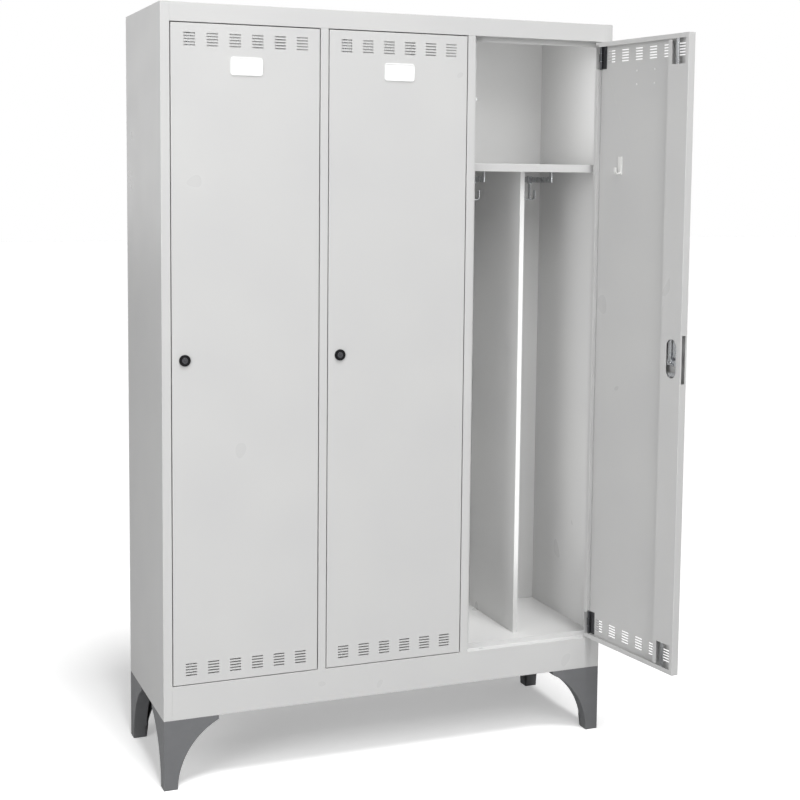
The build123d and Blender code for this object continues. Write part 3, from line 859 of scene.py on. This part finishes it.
@dataclass(frozen=True)
class LightPanel:
    """A square softbox, whose level is the light that reaches its target head on."""

    name: str
    level: float
    size: float
    place: tuple[float, float, float]
    target: tuple[float, float, float]

    def build(self) -> None:
        """Make the lamp, turned to its target."""
        lamp = bpy.data.lights.new(self.name, "AREA")
        lamp.shape = "SQUARE"
        lamp.size = self.size
        back = Vector(self.place) - Vector(self.target)
        lamp.energy = self.level * (pi * back.length) ** 2
        stand = stand_lamp(lamp, self.place)
        stand.rotation_mode = "QUATERNION"
        stand.rotation_quaternion = back.to_track_quat("Z", "Y")


@dataclass
class Studio:
    """Plain white floor and surroundings, with soft light from the front, the left and above.

    The fills light the compartments. Their pairs of values are for the clothes space and the
    hat space, and each fill keeps its clearance from the floor of its space.
    """

    floor_size: float = 60.0
    floor_seen: str = "#FFFFFF"
    floor_bounce: str = "#BCBCBC"
    floor_lift: float = 0.3
    surroundings: float = 0.14
    sun_level: float = 0.62
    sun_elevation: float = 68.0
    sun_azimuth: float = 4.0
    sun_width: float = 16.0
    sun_distance: float = 5.0
    panels: tuple[LightPanel, ...] = (
        LightPanel("front_panel", 0.42, 2.2, (0.0, -3.6, 3.8), (0.0, -0.2, 1.2)),
        LightPanel("left_panel", 0.38, 2.2, (-4.0, -2.8, 1.9), (0.0, -0.2, 1.1)),
    )
    fill_radiance: tuple[float, float] = (0.72, 1.5)
    fill_margin: float = 18 * MM
    fill_depth: float = 6 * MM
    fill_clear: tuple[float, float] = (170 * MM, 40 * MM)

    def build_world(self) -> None:
        """Surroundings that look white, and light the object at a plain level."""
        world = bpy.data.worlds.new("white_studio")
        bpy.context.scene.world = world
        world.use_nodes = True
        tree = world.node_tree
        tree.nodes.clear()
        rays = add_node(tree, "ShaderNodeLightPath")
        seen = add_node(
            tree,
            "ShaderNodeMath",
            {"operation": "MAXIMUM"},
            {0: rays.outputs["Is Camera Ray"], 1: rays.outputs["Is Glossy Ray"]},
        )
        shown = add_node(
            tree,
            "ShaderNodeMath",
            {"operation": "MAXIMUM"},
            {0: seen.outputs[0], 1: rays.outputs["Is Transmission Ray"]},
        )
        lighting = add_node(
            tree, "ShaderNodeBackground", {"Color": linear("#FFFFFF"), "Strength": self.surroundings}
        )
        white = add_node(tree, "ShaderNodeBackground", {"Color": linear("#FFFFFF"), "Strength": 1.0})
        both = add_node(
            tree,
            "ShaderNodeMixShader",
            links={0: shown.outputs[0], 1: lighting.outputs[0], 2: white.outputs[0]},
        )
        add_node(tree, "ShaderNodeOutputWorld", links={"Surface": both.outputs[0]})

    def build_floor(self) -> None:
        """A wide white floor that takes the object's shadow."""
        mesh = bmesh.new()
        bmesh.ops.create_grid(mesh, x_segments=1, y_segments=1, size=self.floor_size / 2)
        data = bpy.data.meshes.new("studio_floor")
        mesh.to_mesh(data)
        mesh.free()
        floor = bpy.data.objects.new("studio_floor", data)
        bpy.context.scene.collection.objects.link(floor)
        material = bpy.data.materials.new("white_paper_floor")
        material.use_nodes = True
        tree = material.node_tree
        tree.nodes.clear()
        rays = add_node(tree, "ShaderNodeLightPath")
        seen = add_node(
            tree,
            "ShaderNodeMath",
            {"operation": "MULTIPLY", 1: self.floor_lift},
            {0: rays.outputs["Is Camera Ray"]},
        )
        tone = add_node(
            tree,
            "ShaderNodeMix",
            {"data_type": "RGBA", 6: linear(self.floor_bounce), 7: linear(self.floor_seen)},
            {0: rays.outputs["Is Camera Ray"]},
        )
        matt = add_node(tree, "ShaderNodeBsdfDiffuse", links={"Color": tone.outputs[2]})
        glow = add_node(tree, "ShaderNodeEmission", links={"Strength": seen.outputs[0]})
        both = add_node(tree, "ShaderNodeAddShader", links={0: matt.outputs[0], 1: glow.outputs[0]})
        add_node(tree, "ShaderNodeOutputMaterial", links={"Surface": both.outputs[0]})
        data.materials.append(material)

    def build_lamps(self) -> None:
        """A soft sun from above the front, and the softboxes."""
        sun = bpy.data.lights.new("soft_sun", "SUN")
        sun.energy = self.sun_level * pi
        sun.angle = radians(self.sun_width)
        up, around = radians(self.sun_elevation), radians(self.sun_azimuth)
        towards = Vector((sin(around) * cos(up), -cos(around) * cos(up), sin(up)))
        stand = stand_lamp(sun, self.sun_distance * towards)
        stand.rotation_mode = "QUATERNION"
        stand.rotation_quaternion = towards.to_track_quat("Z", "Y")
        for panel in self.panels:
            panel.build()
        self.build_fills()

    def build_fills(self) -> None:
        """Light each compartment from just behind the shelf's front edge, above and below it."""
        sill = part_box("floor_panel")[1].z
        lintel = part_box("centre_post_left")[1].z
        for name in NAMES:
            low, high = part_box(f"hat_shelf_{name}")
            spans = ((sill, low.z), (high.z, lintel))
            rows = zip(("clothes", "hat"), self.fill_radiance, self.fill_clear, spans)
            for part, radiance, clear, (bottom, top) in rows:
                lamp = bpy.data.lights.new(f"{part}_fill_{name}", "AREA")
                lamp.shape = "RECTANGLE"
                lamp.size = high.x - low.x - 2 * self.fill_margin
                lamp.size_y = top - bottom - clear - self.fill_margin
                lamp.energy = radiance * pi * lamp.size * lamp.size_y
                height = (bottom + clear + top - self.fill_margin) / 2
                place = ((low.x + high.x) / 2, low.y + self.fill_depth, height)
                stand_lamp(lamp, place).rotation_euler = (radians(90), 0, 0)

    def build(self) -> None:
        """Make the surroundings, the floor and the lamps."""
        self.build_world()
        self.build_floor()
        self.build_lamps()
        bpy.context.scene.view_settings.view_transform = "Standard"


@dataclass(frozen=True)
class Viewpoint:
    """A camera in front and to the left, with its picture shifted a little down."""

    place: tuple[float, float, float] = (-1.3577, -3.6109, 1.4952)
    yaw: float = 21.81
    pitch: float = 5.372
    roll: float = -0.559
    focal_length: float = 65.94
    shift_up: float = -0.105
    sensor_width: float = 36.0
    far_clip: float = 200.0

    def build(self) -> None:
        """Make the scene's camera."""
        data = bpy.data.cameras.new("view")
        data.sensor_width = self.sensor_width
        data.lens = self.focal_length
        data.shift_y = self.shift_up
        data.clip_end = self.far_clip
        camera = bpy.data.objects.new("view", data)
        yaw, pitch, roll = (radians(a) for a in (self.yaw, self.pitch, self.roll))
        ahead = Vector((sin(yaw) * cos(pitch), cos(yaw) * cos(pitch), -sin(pitch)))
        right = Vector((cos(yaw), -sin(yaw), 0))
        down = ahead.cross(right)
        tilted_right = cos(roll) * right + sin(roll) * down
        tilted_down = -sin(roll) * right + cos(roll) * down
        axes = Matrix((tilted_right, -tilted_down, -ahead)).transposed()
        camera.matrix_world = Matrix.Translation(Vector(self.place)) @ axes.to_4x4()
        bpy.context.scene.collection.objects.link(camera)
        bpy.context.scene.camera = camera


# ---------------------------------------------------------------- the whole


def main() -> None:
    """Build the locker and its studio."""
    logging.basicConfig(level=logging.INFO, format="%(name)s: %(message)s")
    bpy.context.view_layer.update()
    Viewpoint().build()
    Studio().build()
    Cabinet().build()
    for name in NAMES:
        Door(name).build()


if __name__ == "__main__":
    main()
